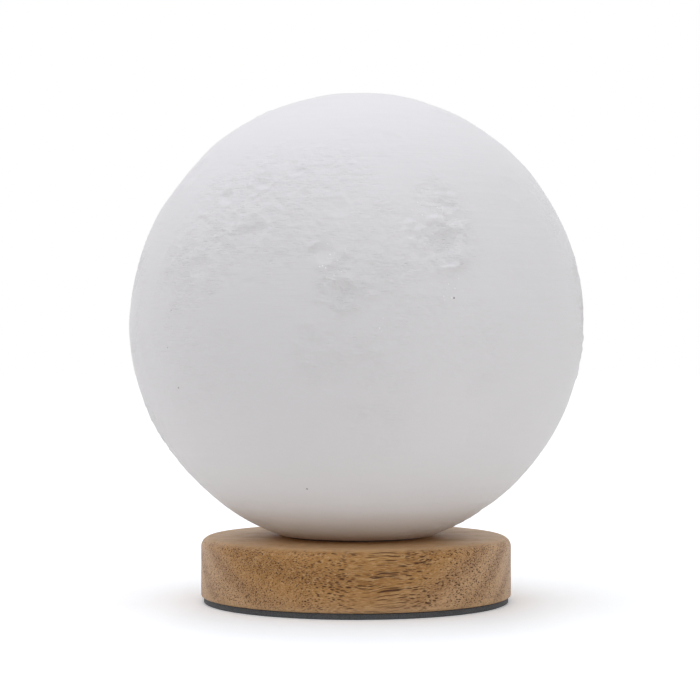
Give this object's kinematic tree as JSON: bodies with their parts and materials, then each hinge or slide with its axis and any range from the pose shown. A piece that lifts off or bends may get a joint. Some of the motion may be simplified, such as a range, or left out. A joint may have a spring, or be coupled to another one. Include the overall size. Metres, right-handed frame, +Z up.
{
  "type": "moon lamp",
  "caption": "Table lamp with a hollow cratered moon globe that rests on a round wooden base holding the light, the battery and the control board.",
  "frame": {"origin": "centre of the lamp's footprint on the table, under the middle of the globe", "axes": "+Z up through the base and the globe, -Y towards the front, +Y towards the charging port and the button"},
  "size_m": [0.15, 0.15, 0.1677],
  "materials": {
    "globe_plastic": "white printed plastic with fine layer lines, thin enough to glow",
    "white_plastic": "smooth white moulded plastic",
    "felt": "thin grey felt",
    "wood": "oiled hardwood with open dark pores",
    "pad_rubber": "charcoal foam rubber, matt",
    "dark_plastic": "dark grey moulded plastic, fine texture",
    "screw_steel": "plated steel",
    "led_board": "white solder mask on aluminium",
    "led_package": "ivory moulded packages",
    "led_phosphor": "yellow phosphor gel",
    "diffuser": "frosted translucent plastic",
    "lead_red": "red insulation",
    "lead_white": "white insulation",
    "lead_black": "black insulation",
    "connector": "ivory moulded plastic",
    "board_green": "green solder mask on glass fibre board",
    "chip_black": "black moulded packages",
    "passive": "tan chip parts with tinned ends",
    "ferrite": "dark sintered core",
    "socket_steel": "bright nickel plate",
    "charge_light": "milky moulded package",
    "light_pipe": "clear moulded rod",
    "cell_foil": "silver laminate pouch",
    "amber_tape": "amber film over the board",
    "foam_tape": "white double-sided foam"
  },
  "bodies": {
    "base": {"wood_base": "wood", "anti_slip_pad": "pad_rubber", "bottom_cover": "dark_plastic", "cover_screws": "screw_steel", "lamp_holder": "white_plastic", "holder_screws": "screw_steel", "led_board": "led_board", "led_packages": "led_package", "led_phosphor": "led_phosphor", "led_board_screws": "screw_steel", "diffuser_dome": "diffuser", "light_lead_red": "lead_red", "light_lead_white": "lead_white", "light_lead_black": "lead_black", "light_connector": "connector", "light_plug": "white_plastic", "control_board": "board_green", "board_screws": "screw_steel", "board_chips": "chip_black", "board_passives": "passive", "power_inductor": "ferrite", "usb_socket": "socket_steel", "usb_tongue": "chip_black", "port_plate": "dark_plastic", "tact_switch": "dark_plastic", "charge_light": "charge_light", "light_pipe": "light_pipe", "battery_cell": "cell_foil", "cell_guard_board": "amber_tape", "battery_tape": "foam_tape", "cell_connector": "connector", "cell_plug": "white_plastic", "cell_lead_red": "lead_red", "cell_lead_black": "lead_black"},
    "turning_seat": {"seat_ring": "felt"},
    "globe": {"moon_globe": "globe_plastic", "globe_collar": "white_plastic"},
    "button": {"power_button": "dark_plastic", "switch_plunger": "connector"}
  },
  "joints": [
    {"name": "globe_turn", "type": "hinge", "parent": "base", "child": "turning_seat", "pos_m": [0, 0, 0.0215], "axis": [0, 0, 1], "continuous": true},
    {"name": "globe_lift", "type": "slide", "parent": "turning_seat", "child": "globe", "axis": [0, 0, 1], "range_m": [0, 0.06]},
    {"name": "button_press", "type": "slide", "parent": "base", "child": "button", "axis": [0, -1, 0], "range_m": [0, 0.0005], "stiffness_N_per_m": 2400}
  ]
}
